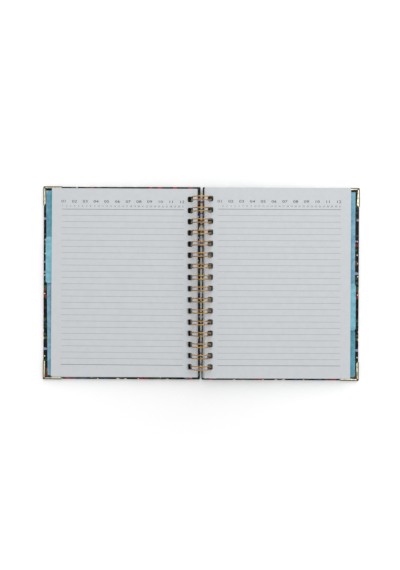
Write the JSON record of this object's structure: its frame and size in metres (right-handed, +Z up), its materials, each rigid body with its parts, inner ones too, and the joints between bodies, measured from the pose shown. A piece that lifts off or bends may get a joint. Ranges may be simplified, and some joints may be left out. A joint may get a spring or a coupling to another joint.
{
  "type": "spiral planner",
  "caption": "Hard-cover planner bound with a twin-loop wire, lying open, with tabbed dividers, ruled leaves and metal cover corners.",
  "frame": {"origin": "bottom centre of the whole object's box: on the table, under the middle of the wire", "axes": "+X towards the back cover's fore edge, +Y towards the head of the pages, +Z up off the table"},
  "size_m": [0.3628, 0.2214, 0.0244],
  "materials": {
    "paper": "matt uncoated",
    "light_tab_card": "smooth coated",
    "dark_tab_card": "smooth coated",
    "grey_board": "raw",
    "printed_wrap": "printed and laminated",
    "blue_endpaper": "matt printed",
    "pale_gold_corner": "bright plated",
    "gold_wire": "gold coated"
  },
  "bodies": {
    "back_cover": {"back_cover_board": "grey_board", "back_cover_wrap": "printed_wrap", "back_cover_endpaper": "blue_endpaper", "back_corner_head": "pale_gold_corner", "back_corner_tail": "pale_gold_corner"},
    "section_4": {"section_4_leaves": "paper", "divider_4": "dark_tab_card"},
    "section_3": {"section_3_leaves": "paper", "divider_3": "light_tab_card"},
    "section_2_unread": {"section_2_unread_leaves": "paper"},
    "right_leaf": {"right_open_leaf": "paper"},
    "binding_wire": {"twin_loop_wire": "gold_wire"},
    "front_cover": {"front_cover_board": "grey_board", "front_cover_wrap": "printed_wrap", "front_cover_endpaper": "blue_endpaper", "front_corner_head": "pale_gold_corner", "front_corner_tail": "pale_gold_corner"},
    "front_pages": {"front_leaves": "paper"},
    "section_1": {"divider_1": "dark_tab_card", "section_1_leaves": "paper"},
    "section_2_read": {"divider_2": "light_tab_card", "section_2_read_leaves": "paper"},
    "left_leaf": {"left_open_leaf": "paper"}
  },
  "joints": [
    {"name": "wire_turn", "type": "hinge", "parent": "back_cover", "child": "binding_wire", "pos_m": [0, 0, 0.0123], "axis": [0, -1, 0], "range_deg": [-28, 2]},
    {"name": "section_4_turn", "type": "hinge", "parent": "back_cover", "child": "section_4", "pos_m": [0, 0, 0.0123], "axis": [0, -1, 0], "range_deg": [0, 180]},
    {"name": "section_3_turn", "type": "hinge", "parent": "section_4", "child": "section_3", "pos_m": [0, 0, 0.0123], "axis": [0, -1, 0], "range_deg": [0, 180]},
    {"name": "section_2_unread_turn", "type": "hinge", "parent": "section_3", "child": "section_2_unread", "pos_m": [0, 0, 0.0123], "axis": [0, -1, 0], "range_deg": [0, 180]},
    {"name": "right_leaf_turn", "type": "hinge", "parent": "section_2_unread", "child": "right_leaf", "pos_m": [0, 0, 0.0123], "axis": [0, -1, 0], "range_deg": [0, 180]},
    {"name": "front_cover_turn", "type": "hinge", "parent": "back_cover", "child": "front_cover", "pos_m": [0, 0, 0.0123], "axis": [0, 1, 0], "range_deg": [-10, 181.2]},
    {"name": "front_pages_turn", "type": "hinge", "parent": "front_cover", "child": "front_pages", "pos_m": [0, 0, 0.0123], "axis": [0, 1, 0], "range_deg": [0, 180]},
    {"name": "section_1_turn", "type": "hinge", "parent": "front_pages", "child": "section_1", "pos_m": [0, 0, 0.0123], "axis": [0, 1, 0], "range_deg": [0, 180]},
    {"name": "section_2_read_turn", "type": "hinge", "parent": "section_1", "child": "section_2_read", "pos_m": [0, 0, 0.0123], "axis": [0, 1, 0], "range_deg": [0, 180]},
    {"name": "left_leaf_turn", "type": "hinge", "parent": "section_2_read", "child": "left_leaf", "pos_m": [0, 0, 0.0123], "axis": [0, 1, 0], "range_deg": [0, 180]}
  ]
}
